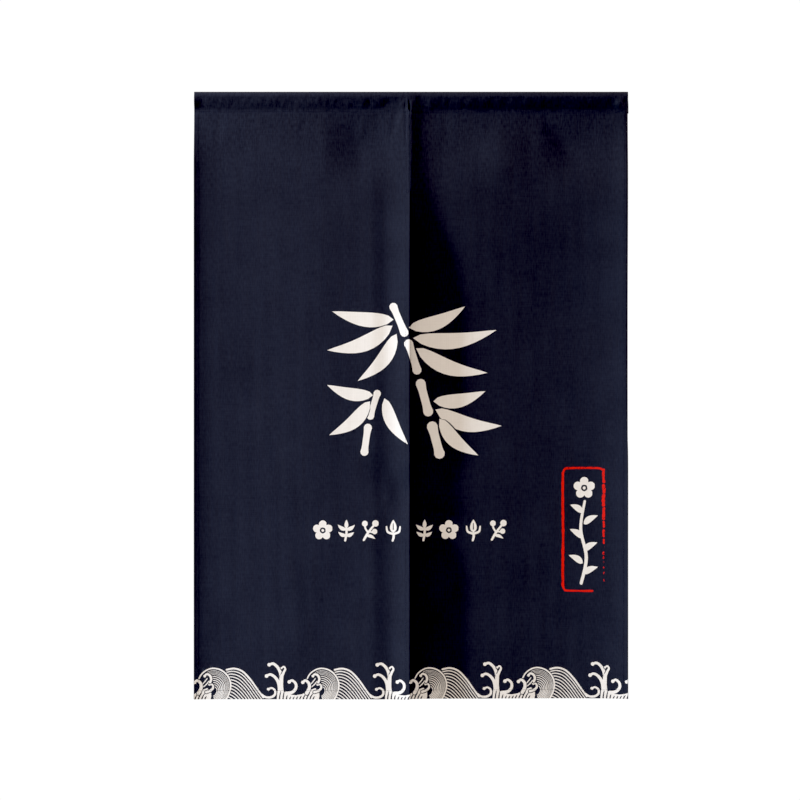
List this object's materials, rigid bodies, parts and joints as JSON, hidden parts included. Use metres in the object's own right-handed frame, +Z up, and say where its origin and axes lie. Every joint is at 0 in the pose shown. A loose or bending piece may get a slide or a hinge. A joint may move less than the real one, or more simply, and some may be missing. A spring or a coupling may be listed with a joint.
{
  "type": "partition curtain",
  "caption": "Door curtain of two printed cloths sewn together near the top and open below, with a rod pocket along the top edge; it screens a doorway and lets people through.",
  "frame": {"origin": "middle of the top edge of the rod pocket, where a rod holds the curtain", "axes": "+Z up, +X to the right seen from the front, +Y from the front to the back"},
  "size_m": [0.8501, 0.0681, 1.189],
  "materials": {
    "navy_cloth": "plain woven printed cloth, navy ground with cream and red print"
  },
  "bodies": {
    "root": {"panel_left": "navy_cloth", "panel_right": "navy_cloth", "heading_left": "navy_cloth", "heading_right": "navy_cloth"}
  },
  "joints": []
}
